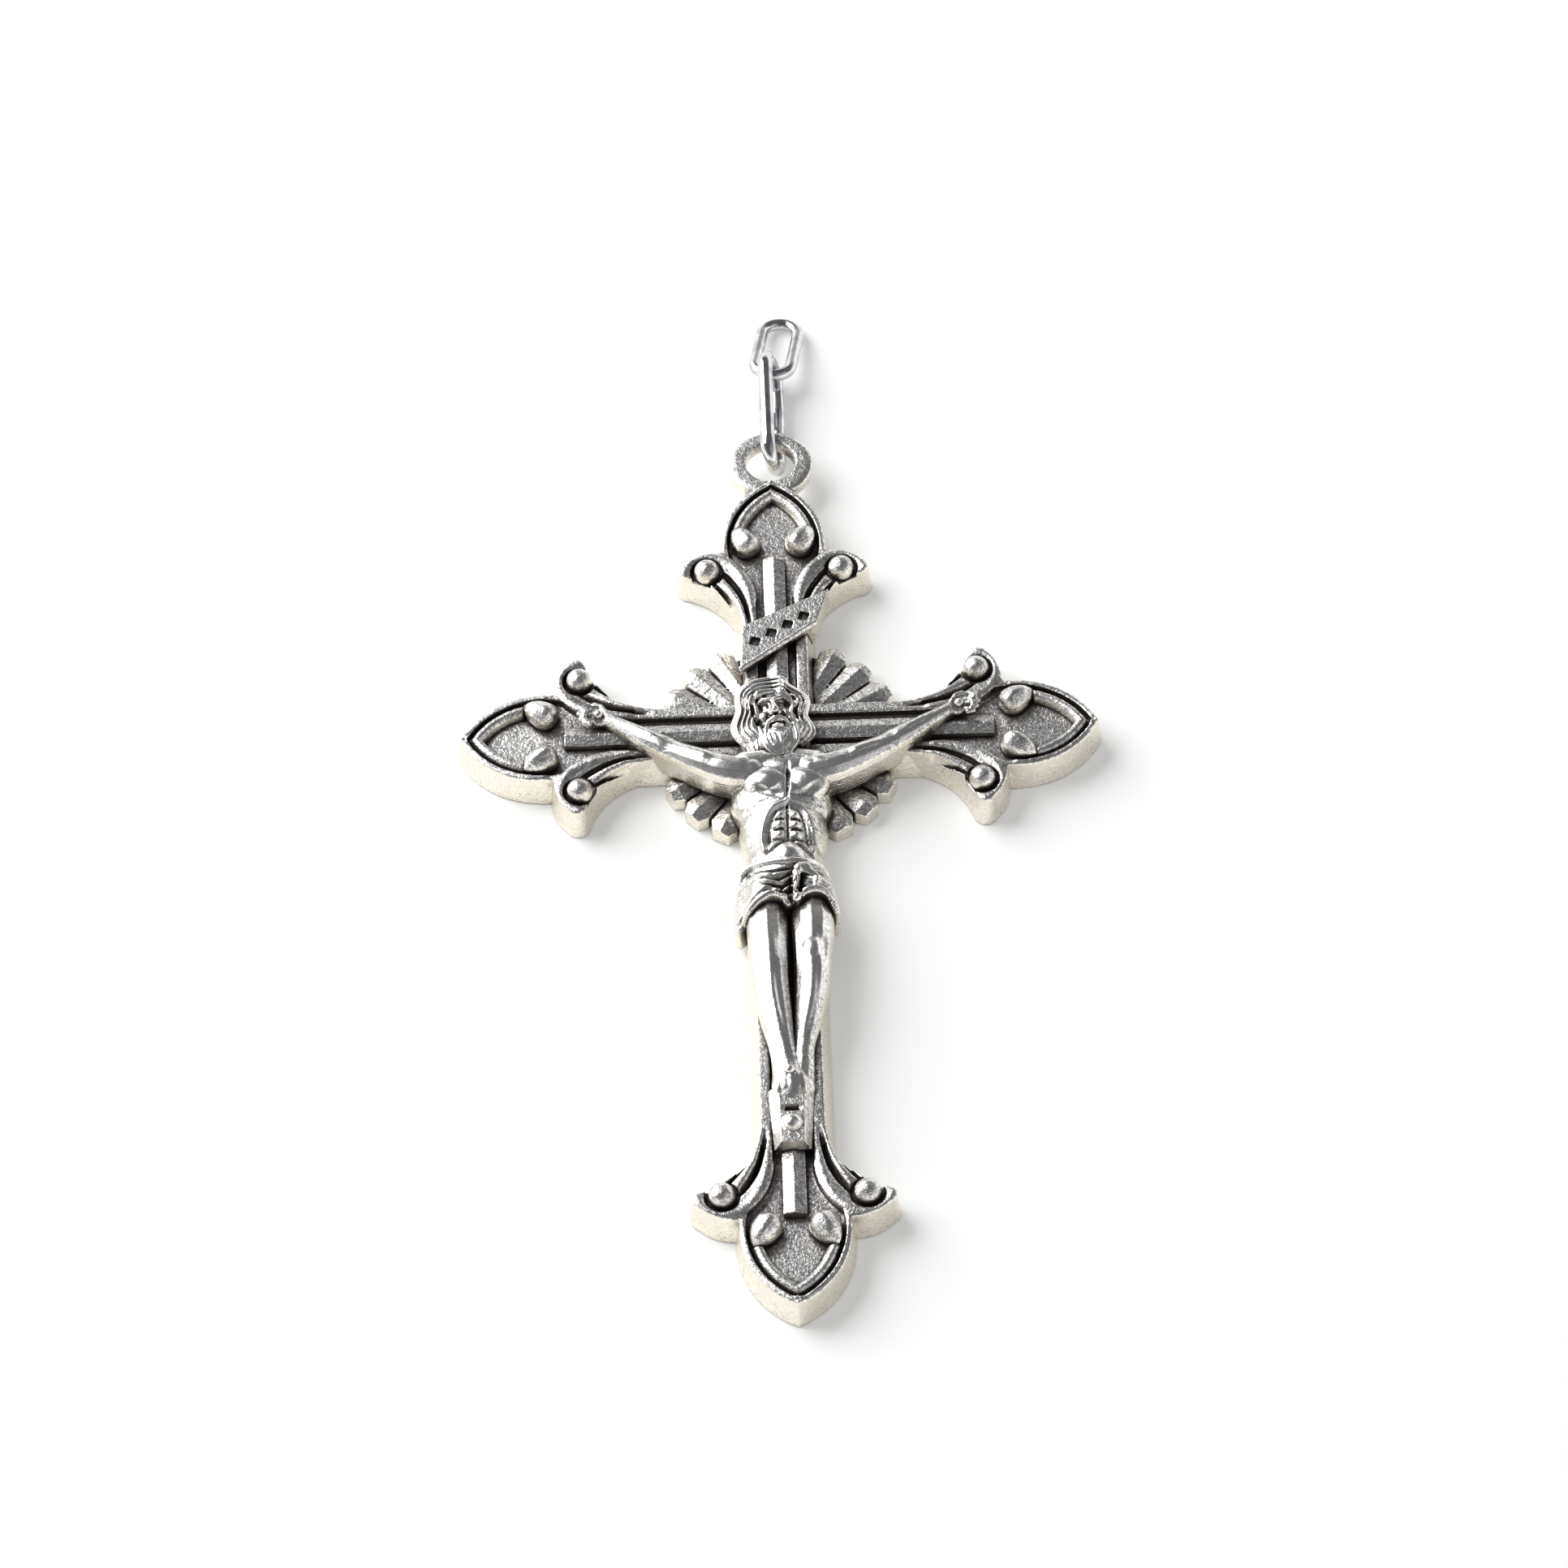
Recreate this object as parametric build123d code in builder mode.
from build123d import *
from math import asin, cos, radians, sin, sqrt
import os

# A small cast crucifix that hangs from a jump ring and a chain link. It lies on its back:
# +X to the viewer's right, +Y up the cross, +Z out of the front. The origin is on the flat
# back, under the point where the two beams cross. All sizes are in millimetres.

# Cast cross
plate_height = 2.0  # back to rim face
face_half_width = 1.7  # shaft and arms, at the rim face
shaft_draft = 14.0  # degrees, the shaft's sloping sides
edge_draft = 0.23  # the terminals' sides stand out this much at the back
top_reach = 11.17  # crossing to the pearl line of each terminal
side_reach = 10.97
bottom_reach = 29.92
recess_half_width = 1.05
recess_depth = 0.5
recess_inset = 2.0  # the straight panels stop this far short of each pearl line
floor_height = plate_height - recess_depth

# One terminal, drawn with its pearl line on y = 0 and its tip along +y
flare_start = -4.6
flare_radius = 4.5
flare_turn = 75.0
scroll_nose = (5.27, 0.18)  # outermost points of each flared scroll
scroll_heel = (4.95, 0.62)
scroll_brow = (4.05, 1.22)
scroll_root = (2.85, 1.4)
heel_growth = 0.7  # the heel and brow follow the draft less than the nose does
brow_growth = 0.3
throat_y = -2.6  # a lobe's sunk panel widens from here
throat_middle = (1.38, -0.4)
throat_end_y = 1.0
lobe_widest = 2.0  # y where the lobe is widest
lobe_half_width = 2.9
lobe_radius = 5.02
lobe_rim = 0.32  # flat outer rim
lobe_groove = 0.18
inner_rim_width = 0.62
inner_rim_end = 3.1
inner_rim_rise = 0.03  # above the flat outer rim
pearl_offset = 3.76
pearl_radius = 0.72
pearl_pocket_radius = 0.92
pearl_pocket_depth = 0.35
drop_offset = 1.56
drop_rise = 2.05
drop_length = 2.1
drop_radius = 0.78
drop_turn = 33.0
drop_sink = 0.06
drop_tail = 0.42  # share of the length on the round side of the heart
drop_shoulder = -0.1
groove_width = 0.2
groove_depth = 0.32
groove_arcs = (
    ((1.6, -3.1), (1.95, -1.4), (3.05, 0.1)),
    ((2.1, -2.7), (2.58, -1.85), (3.4, -0.8)),
)

# Inner cross of raised beams
beam_half_width = 0.62
beam_side = 0.4  # above the recess floor
beam_ridge = 0.62
upright_top = 12.1
upright_bottom = -31.05
cross_beam_end = 11.8

# Ray fans in the four corners
ray_angles = (29.0, 45.0, 61.0)
ray_sections = (  # distance from the crossing, half width, height at the edge and at the ridge
    (2.6, 0.36, 0.92, 1.05),
    (6.45, 0.82, 1.0, 1.3),
    (7.0, 0.5, 0.9, 1.1),
)
ray_web_height = 0.75
ray_web_radius = 6.2

# Hanging eye
eye_y = 19.15
eye_radius = 2.15
eye_hole_radius = 1.38
eye_low = 1.05
eye_high = 1.95
eye_rounding = 0.15

# Title scroll across the upper shaft
band_corners = ((-1.85, 6.95), (3.0, 9.4), (2.25, 6.95), (-2.05, 3.8))
scroll_height = 0.42
scroll_border = 0.1
scroll_border_width = 0.22
scroll_roll_x = 1.75  # right of here the band rolls down over the shaft's side
scroll_roll_depth = 1.25
lozenge_count = 4
lozenge_start = 0.17  # first lozenge's place along the band, as a share of it
lozenge_pitch = 0.2
lozenge_radius = 0.4
lozenge_turn = 30.0
lozenge_depth = 0.28

# Corpus: trunk sections are (y, x, half width, height), limb joints (x, y, z, radius)
body_low = plate_height
torso_sections = (
    (-9.1, 0.05, 2.1, 1.2),
    (-7.6, 0.05, 2.2, 1.25),
    (-5.2, 0.05, 2.65, 1.45),
    (-3.8, 0.05, 2.75, 1.45),
    (-2.6, 0.05, 2.2, 1.05),
    (-1.9, 0.05, 1.1, 0.75),
)
cloth_low = 0.35  # the loincloth comes down on both sides of the shaft
loincloth_sections = (
    (-13.0, 0.15, 2.6, 2.7),
    (-11.6, 0.15, 2.85, 3.05),
    (-10.0, 0.1, 2.7, 3.05),
    (-8.9, 0.05, 2.35, 2.85),
)
leg_left_joints = (
    (-0.95, -12.6, 2.6, 0.9),
    (-0.95, -15.2, 2.85, 0.85),
    (-0.92, -17.0, 2.65, 0.85),
    (-0.7, -19.0, 2.6, 0.72),
    (-0.3, -21.2, 2.6, 0.5),
    (0.05, -24.2, 2.5, 0.62),
)
leg_right_joints = (
    (1.3, -12.6, 2.6, 0.9),
    (1.28, -15.2, 2.75, 0.82),
    (1.28, -17.0, 2.5, 0.78),
    (1.05, -19.0, 2.4, 0.62),
    (0.68, -21.0, 2.35, 0.42),
    (0.4, -23.2, 2.3, 0.5),
)
arm_joints = (  # the right arm's, mirrored for the left
    (1.8, -3.3, 2.5, 0.9),
    (2.9, -3.1, 2.55, 0.92),
    (4.3, -2.5, 2.5, 0.82),
    (5.6, -1.8, 2.45, 0.7),
    (7.2, -0.8, 2.45, 0.62),
    (8.5, 0.15, 2.4, 0.48),
    (9.3, 0.7, 2.35, 0.38),
    (10.1, 1.08, 2.3, 0.5),
    (10.75, 1.2, 2.25, 0.38),
)
head_centre = (-0.25, 0.5, 2.3)  # hair included
head_radius = 2.0
head_length = 4.7
beard_centre = (0.3, -1.35, 2.8)
beard_radius = 1.2

# Foot block: half widths and ends of its foot and of its top
block_foot = ((1.0, -27.3), (1.25, -23.6))
block_top = ((0.6, -27.2), (0.7, -23.7))
block_height = 0.8
boss_y = -26.05
boss_rise = 0.72  # its centre, above the rim face
boss_radius = 0.52

# Nails
nail_radius = 0.27
nail_sink = 0.08
nail_shank = 0.12
nail_length = 0.25

# Jump ring and chain link
ring_wire = 0.85
ring_near_y = 20.37  # centres of its two bends
ring_far_y = 25.7
ring_bend = 1.175  # wire centre to bend centre
ring_lean = 15.0
ring_foot_x = 0.5
ring_seam = 0.05
ring_seam_y = 22.2
link_wire = 0.72
link_length = 5.8
link_width = 2.8
link_turn = 9.0
link_near_y = 25.96  # in the ring's own plane
link_near_rise = 1.15

terminals = {
    "top": (top_reach, 0),
    "left": (side_reach, 90),
    "bottom": (bottom_reach, 180),
    "right": (side_reach, -90),
}
lobe_centre = lobe_half_width - lobe_radius
made = {}


def terminal_plane(reach, turn, height):
    """Plane of one terminal, its y axis along the beam towards the tip."""
    angle = radians(turn)
    return Plane(
        origin=(-reach * sin(angle), reach * cos(angle), height),
        x_dir=(cos(angle), sin(angle), 0),
        z_dir=(0, 0, 1),
    )


def largest(part):
    """The part without the scraps that a cut left behind."""
    return Part(Compound([part.solids().sort_by(SortBy.VOLUME)[-1]]).wrapped)


def keep(name, part):
    """Labels a finished piece and lists it for writing."""
    part.label = name
    made[name] = part


def lobe_point(radius, y):
    """Point of the pointed arch of the given radius, on its right side."""
    return (lobe_centre + sqrt(radius**2 - (y - lobe_widest) ** 2), y)


def lobe_apex(radius):
    """Tip of the pointed arch of the given radius."""
    return (0, lobe_widest + sqrt(radius**2 - lobe_centre**2))


def arch_side(radius, low):
    """Right side of the pointed arch, from the height low to its tip."""
    start = lobe_point(radius, low)
    end = lobe_apex(radius)
    middle = lobe_point(radius, (low + end[1]) / 2)
    ThreePointArc(start, middle, end)
    return start


def arch(radius, low):
    """Filled pointed arch, closed straight across at the height low."""
    with BuildLine() as outline:
        start = arch_side(radius, low)
        Line(start, (0, low))
        mirror(about=Plane.YZ)
    make_face(outline.edges())


def flared_scrolls(grow):
    """Outline of the pair of scrolls that flare out under a lobe, grown outwards all round."""
    centre_x = face_half_width + flare_radius
    radius = flare_radius - grow
    start = (centre_x - radius, flare_start)
    mid_angle = radians(flare_turn / 2)
    end_angle = radians(flare_turn)
    mid = (centre_x - radius * cos(mid_angle), flare_start + radius * sin(mid_angle))
    end = (centre_x - radius * cos(end_angle), flare_start + radius * sin(end_angle))
    nose = (scroll_nose[0] + grow, scroll_nose[1])
    heel = (scroll_heel[0] + heel_growth * grow, scroll_heel[1] + heel_growth * grow)
    brow = (scroll_brow[0] + brow_growth * grow, scroll_brow[1] + grow)
    root = (scroll_root[0], scroll_root[1] + grow)
    with BuildLine() as outline:
        Line((0, flare_start), start)
        ThreePointArc(start, mid, end)
        ThreePointArc(end, nose, heel)
        ThreePointArc(heel, brow, root)
        Line(root, (0, root[1]))
        mirror(about=Plane.YZ)
    make_face(outline.edges())


# Cast cross: shaft, arms, four flared terminals, sunk panels and grooves
with BuildPart() as cross_plate:
    with BuildSketch(Plane.XY.offset(plate_height)):
        with Locations((0, (top_reach - bottom_reach) / 2)):
            Rectangle(2 * face_half_width, top_reach + bottom_reach)
        Rectangle(2 * side_reach, 2 * face_half_width)
    extrude(amount=-plate_height, taper=-shaft_draft)
    for reach, turn in terminals.values():
        for height, grow in ((0, edge_draft), (plate_height, 0)):
            with BuildSketch(terminal_plane(reach, turn, height)):
                flared_scrolls(grow)
        loft(ruled=True)
        for height, grow in ((0, edge_draft), (plate_height, 0)):
            with BuildSketch(terminal_plane(reach, turn, height)):
                arch(lobe_radius + grow, 0)
        loft(ruled=True)
    with BuildSketch(Plane.XY.offset(plate_height)):
        with Locations((0, (top_reach - bottom_reach) / 2)):
            Rectangle(2 * recess_half_width, top_reach + bottom_reach - 2 * recess_inset)
        Rectangle(2 * (side_reach - recess_inset), 2 * recess_half_width)
    extrude(amount=-recess_depth, mode=Mode.SUBTRACT)
    for reach, turn in terminals.values():
        with BuildSketch(terminal_plane(reach, turn, plate_height)):
            with BuildLine():
                throat_start = (recess_half_width, throat_y)
                throat_end = lobe_point(lobe_radius - lobe_rim, throat_end_y)
                Line((0, throat_y), throat_start)
                ThreePointArc(throat_start, throat_middle, throat_end)
                arch_side(lobe_radius - lobe_rim, throat_end_y)
                mirror(about=Plane.YZ)
            make_face()
        extrude(amount=-recess_depth, mode=Mode.SUBTRACT)
        with BuildSketch(terminal_plane(reach, turn, plate_height)):
            with Locations((-pearl_offset, 0), (pearl_offset, 0)):
                Circle(pearl_pocket_radius)
        extrude(amount=-pearl_pocket_depth, mode=Mode.SUBTRACT)
        with BuildSketch(terminal_plane(reach, turn, plate_height)):
            with BuildLine():
                for groove in groove_arcs:
                    ThreePointArc(*groove)
                mirror(about=Plane.YZ)
            trace(line_width=groove_width)
        extrude(amount=-groove_depth, mode=Mode.SUBTRACT)
keep("cross_plate", cross_plate.part)

# Hanging eye, cast on the tip of the top lobe and thinner than the plate
with BuildPart() as hanging_eye:
    with BuildSketch(Plane.XY.offset(eye_low)):
        with Locations((0, eye_y)):
            Circle(eye_radius)
            Circle(eye_hole_radius, mode=Mode.SUBTRACT)
    extrude(amount=eye_high - eye_low)
    fillet(hanging_eye.edges().filter_by(GeomType.CIRCLE), radius=eye_rounding)
    add(cross_plate.part, mode=Mode.SUBTRACT)
keep("hanging_eye", largest(hanging_eye.part))


def beam_section():
    """House-shaped section of a raised beam, on the recess floor."""
    with BuildLine() as outline:
        Polyline((0, 0), (beam_half_width, 0), (beam_half_width, beam_side), (0, beam_ridge))
        mirror(about=Plane.YZ)
    make_face(outline.edges())


with BuildPart() as upright_beam:
    low_end = (0, upright_bottom, floor_height)
    with BuildSketch(Plane(origin=low_end, x_dir=(-1, 0, 0), z_dir=(0, 1, 0))):
        beam_section()
    extrude(amount=upright_top - upright_bottom)
keep("upright_beam", upright_beam.part)

for side, name in ((-1, "cross_beam_left"), (1, "cross_beam_right")):
    with BuildPart() as cross_beam:
        crossing = (0, 0, floor_height)
        with BuildSketch(Plane(origin=crossing, x_dir=(0, side, 0), z_dir=(side, 0, 0))):
            beam_section()
        extrude(amount=cross_beam_end)
        add(upright_beam.part, mode=Mode.SUBTRACT)
    keep(name, cross_beam.part)

# Lobe rims: a half-round moulding that follows each pointed arch
rim_outer = lobe_radius - lobe_rim - lobe_groove
rim_middle = rim_outer - inner_rim_width / 2
for place, (reach, turn) in terminals.items():
    plane = terminal_plane(reach, turn, floor_height)
    axis_point = plane.from_local_coords((lobe_centre, lobe_widest, 0))
    with BuildPart() as lobe_rim_part:
        with BuildSketch(Plane(origin=axis_point, x_dir=plane.x_dir, z_dir=plane.y_dir * -1)):
            with Locations((rim_middle, 0)):
                Ellipse(inner_rim_width / 2, recess_depth + inner_rim_rise)
            with Locations((rim_middle, -1)):
                Rectangle(2, 2, mode=Mode.SUBTRACT)
        revolve(axis=Axis(axis_point, plane.z_dir), revolution_arc=90)
        rim_end = plane.from_local_coords((0, inner_rim_end, 0))
        split(bisect_by=Plane(rim_end, x_dir=plane.x_dir, z_dir=plane.y_dir), keep=Keep.TOP)
        middle_plane = Plane(plane.origin, x_dir=plane.y_dir, z_dir=plane.x_dir)
        split(bisect_by=middle_plane, keep=Keep.TOP)
        mirror(about=middle_plane)
    keep("lobe_rim_" + place, lobe_rim_part.part)


# Pearls in the scroll ends, and bud-shaped drops inside each lobe
drop_angle = radians(drop_turn)
for place, (reach, turn) in terminals.items():
    pocket_floor = terminal_plane(reach, turn, plate_height - pearl_pocket_depth)
    floor = terminal_plane(reach, turn, floor_height)
    for hand, side in (("a", -1), ("b", 1)):
        centre = pocket_floor.from_local_coords((side * pearl_offset, 0, pearl_pocket_depth))
        with BuildPart() as pearl:
            with Locations(centre):
                Sphere(pearl_radius)
            split(bisect_by=pocket_floor, keep=Keep.TOP)
        keep("pearl_" + place + "_" + hand, pearl.part)
        heart = floor.from_local_coords((side * drop_offset, drop_rise, recess_depth - drop_sink))
        long_way = floor.x_dir * side * sin(drop_angle) + floor.y_dir * cos(drop_angle)
        with BuildPart() as drop:
            with BuildSketch(Plane(origin=heart, x_dir=long_way, z_dir=(0, 0, 1))):
                with BuildLine():
                    round_end = (-drop_length * drop_tail, 0)
                    point = (drop_length * (1 - drop_tail), 0)
                    shoulder = (drop_shoulder, drop_radius)
                    ThreePointArc(round_end, (-0.72, 0.58), shoulder)
                    ThreePointArc(shoulder, (0.72, 0.52), point)
                    Line(point, round_end)
                make_face()
            revolve(axis=Axis(heart, long_way))
            split(bisect_by=floor, keep=Keep.TOP)
        keep("drop_" + place + "_" + hand, drop.part)


def ray_section(half, edge, ridge):
    """Ridged section of a ray, standing on the back plane."""
    with BuildLine() as outline:
        Polyline((0, 0), (half, 0), (half, edge), (0, ridge))
        mirror(about=Plane.YZ)
    make_face(outline.edges())


# Fans of three ridged rays on a thin web, one in each corner of the crossing
fan_turns = {"upper_right": 0, "upper_left": 90, "lower_left": 180, "lower_right": 270}
for corner, turn in fan_turns.items():
    with BuildPart() as ray_fan:
        with BuildSketch(Plane.XY.rotated((0, 0, turn))):
            with BuildLine():
                Line((0, 0), (ray_web_radius, 0))
                CenterArc((0, 0), ray_web_radius, 0, 90)
                Line((0, ray_web_radius), (0, 0))
            make_face()
        extrude(amount=ray_web_height)
        for angle in ray_angles:
            way = Vector(cos(radians(angle + turn)), sin(radians(angle + turn)), 0)
            across = Vector(-way.Y, way.X, 0)
            for distance, half, edge, ridge in ray_sections:
                with BuildSketch(Plane(origin=way * distance, x_dir=across, z_dir=way)):
                    ray_section(half, edge, ridge)
            loft(ruled=True)
        add(cross_plate.part, mode=Mode.SUBTRACT)
    keep("ray_fan_" + corner, largest(ray_fan.part))



def band_point(along, across):
    """Point of the title band, from its left end to its right and from its foot to its top."""
    top_left, top_right, foot_right, foot_left = (Vector(*corner) for corner in band_corners)
    foot = foot_left * (1 - along) + foot_right * along
    top = top_left * (1 - along) + top_right * along
    return foot * (1 - across) + top * across


# Title scroll: a slanting band with a raised lower border and a right end that rolls down
with BuildPart() as title_scroll:
    with BuildSketch(Plane.XY.offset(plate_height)):
        with BuildLine():
            Polyline(*band_corners, close=True)
        make_face()
    extrude(amount=scroll_height)
    with BuildSketch(Plane.XY.offset(plate_height)):
        with BuildLine():
            Polyline(*band_corners, close=True)
        make_face()
        with Locations((scroll_roll_x - side_reach, 0)):
            Rectangle(2 * side_reach, 2 * top_reach, mode=Mode.SUBTRACT)
    extrude(amount=-scroll_roll_depth)
    with BuildSketch(Plane.XY.offset(plate_height + scroll_height)):
        with BuildLine():
            Line(band_corners[3], band_corners[2])
        trace(line_width=scroll_border_width)
    extrude(amount=scroll_border)
    with BuildSketch(Plane.XY.offset(plate_height + scroll_height)):
        for i in range(lozenge_count):
            with Locations(band_point(lozenge_start + i * lozenge_pitch, 0.5)):
                RegularPolygon(lozenge_radius, 4, rotation=lozenge_turn)
    extrude(amount=-lozenge_depth, mode=Mode.SUBTRACT)
    add(upright_beam.part, mode=Mode.SUBTRACT)
    add(cross_plate.part, mode=Mode.SUBTRACT)
keep("title_scroll", largest(title_scroll.part))


def limb(*joints):
    """Round limb through joints of (x, y, z, radius), flat where it lies on the cross."""
    with BuildPart() as piece:
        for i, (x, y, z, radius) in enumerate(joints):
            before = Vector(*joints[max(i - 1, 0)][:3])
            after = Vector(*joints[min(i + 1, len(joints) - 1)][:3])
            with BuildSketch(Plane(origin=(x, y, z), z_dir=after - before)):
                Circle(radius)
        loft()
        split(bisect_by=Plane.XY.offset(body_low), keep=Keep.TOP)
    return piece.part


def trunk(low, sections):
    """Rounded body through sections of (y, x, half width, height), standing on the height low."""
    with BuildPart() as piece:
        for y, x, half, height in sections:
            with BuildSketch(Plane(origin=(x, y, low), x_dir=(-1, 0, 0), z_dir=(0, 1, 0))):
                Ellipse(half, height)
        loft()
        split(bisect_by=Plane.XY.offset(low), keep=Keep.TOP)
    return piece.part


def fit_on(piece, *others):
    """The piece cut back to lie against its neighbours."""
    with BuildPart() as fitted:
        add(piece)
        for other in others:
            add(other, mode=Mode.SUBTRACT)
    return largest(fitted.part)


# Corpus, in the pieces it is modelled from
beams = (upright_beam.part, made["cross_beam_left"], made["cross_beam_right"])
torso = fit_on(trunk(body_low, torso_sections), *beams)
keep("corpus_torso", torso)
loincloth = fit_on(trunk(cloth_low, loincloth_sections), cross_plate.part, torso, *beams)
keep("loincloth", loincloth)
leg_left = fit_on(limb(*leg_left_joints), loincloth, *beams)
keep("corpus_leg_left", leg_left)
leg_right = fit_on(limb(*leg_right_joints), loincloth, leg_left, *beams)
keep("corpus_leg_right", leg_right)
for side, name in ((-1, "corpus_arm_left"), (1, "corpus_arm_right")):
    arm = limb(*((side * x, y, z, radius) for x, y, z, radius in arm_joints))
    keep(name, fit_on(arm, torso, *beams))
arms = (made["corpus_arm_left"], made["corpus_arm_right"])
with BuildPart() as head:
    with BuildSketch(Plane(head_centre)):
        Ellipse(head_radius, head_length / 2)
        with Locations((-head_length, 0)):
            Rectangle(2 * head_length, 2 * head_length, mode=Mode.SUBTRACT)
    revolve(axis=Axis(head_centre, (0, 1, 0)))
    with Locations(beard_centre):
        Sphere(beard_radius)
    split(bisect_by=Plane.XY.offset(body_low), keep=Keep.TOP)
head = fit_on(head.part, torso, made["title_scroll"], *arms, *beams)
keep("corpus_head", head)


def tapered_face(corners):
    """Four-sided face that is symmetric about x = 0, from its low and high (half width, y)."""
    (low_half, low_y), (high_half, high_y) = corners
    outline = ((-low_half, low_y), (low_half, low_y), (high_half, high_y), (-high_half, high_y))
    with BuildLine() as edge:
        Polyline(*outline, close=True)
    make_face(edge.edges())


# Foot block under the feet, with its round boss
with BuildPart() as foot_block:
    for height, corners in ((plate_height, block_foot), (plate_height + block_height, block_top)):
        with BuildSketch(Plane.XY.offset(height)):
            tapered_face(corners)
    loft(ruled=True)
foot_block = fit_on(foot_block.part, leg_left, leg_right, *beams)
keep("foot_block", foot_block)
with BuildPart() as foot_boss:
    with Locations((0, boss_y, plate_height + boss_rise)):
        Sphere(boss_radius)
foot_boss = fit_on(foot_boss.part, foot_block, leg_left, *beams)
keep("foot_boss", foot_boss)

# Nails: a shank through hand or feet, with a domed head
nails = {
    "nail_hand_left": (-9.9, 0.95, 2.62, "corpus_arm_left"),
    "nail_hand_right": (9.9, 0.95, 2.62, "corpus_arm_right"),
    "nail_feet": (-0.05, -23.0, 3.15, "corpus_leg_left"),
}
for name, (x, y, z, pierced) in nails.items():
    with BuildPart() as nail:
        with Locations((x, y, z)):
            Sphere(nail_radius)
        split(bisect_by=Plane.XY.offset(z - nail_sink), keep=Keep.TOP)
        with BuildSketch(Plane.XY.offset(z - nail_sink)):
            with Locations((x, y)):
                Circle(nail_shank)
        extrude(amount=-nail_length)
    keep(name, nail.part)
    keep(pierced, fit_on(made[pierced], nail.part))

# Jump ring: one bent wire through the eye, leaning as it stands on its edge
lean = radians(ring_lean)
ring_foot = (ring_foot_x, 0, ring_wire / 2)
ring_plane = Plane(origin=ring_foot, x_dir=(0, 1, 0), z_dir=(cos(lean), 0, sin(lean)))
with BuildPart() as jump_ring:
    with BuildLine(ring_plane) as loop:
        near_low, near_high = (ring_near_y, 0), (ring_near_y, 2 * ring_bend)
        far_low, far_high = (ring_far_y, 0), (ring_far_y, 2 * ring_bend)
        Line(near_low, far_low)
        ThreePointArc(far_low, (ring_far_y + ring_bend, ring_bend), far_high)
        Line(far_high, near_high)
        ThreePointArc(near_high, (ring_near_y - ring_bend, ring_bend), near_low)
    with BuildSketch(Plane(origin=loop.line @ 0, z_dir=loop.line % 0)):
        Circle(ring_wire / 2)
    sweep()
    with Locations((ring_foot_x, ring_seam_y, ring_wire / 2)):
        Box(2 * ring_wire, ring_seam, 1.2 * ring_wire, mode=Mode.SUBTRACT)
keep("jump_ring", jump_ring.part)

# Chain link: its near end inside the ring, its far end down on the table
link_near = ring_plane.from_local_coords(Vector(link_near_y, link_near_rise, 0))
link_run = link_length - link_wire
link_fall = asin((link_near.Z - link_wire / 2) / link_run)
turn = radians(link_turn)
link_way = Vector(sin(turn) * cos(link_fall), cos(turn) * cos(link_fall), -sin(link_fall))
link_across = Vector(cos(turn), -sin(turn), 0)
link_bend = (link_width - link_wire) / 2
far_bend = link_run - link_bend
with BuildPart() as chain_link:
    with BuildLine(Plane(origin=link_near, x_dir=link_way, z_dir=link_across.cross(link_way))) as loop:
        Line((link_bend, link_bend), (far_bend, link_bend))
        ThreePointArc((far_bend, link_bend), (link_run, 0), (far_bend, -link_bend))
        Line((far_bend, -link_bend), (link_bend, -link_bend))
        ThreePointArc((link_bend, -link_bend), (0, 0), (link_bend, link_bend))
    with BuildSketch(Plane(origin=loop.line @ 0, z_dir=loop.line % 0)):
        Circle(link_wire / 2)
    sweep()
keep("chain_link", chain_link.part)

os.makedirs("parts", exist_ok=True)
for name, part in made.items():
    export_step(part, "parts/" + name + ".step")
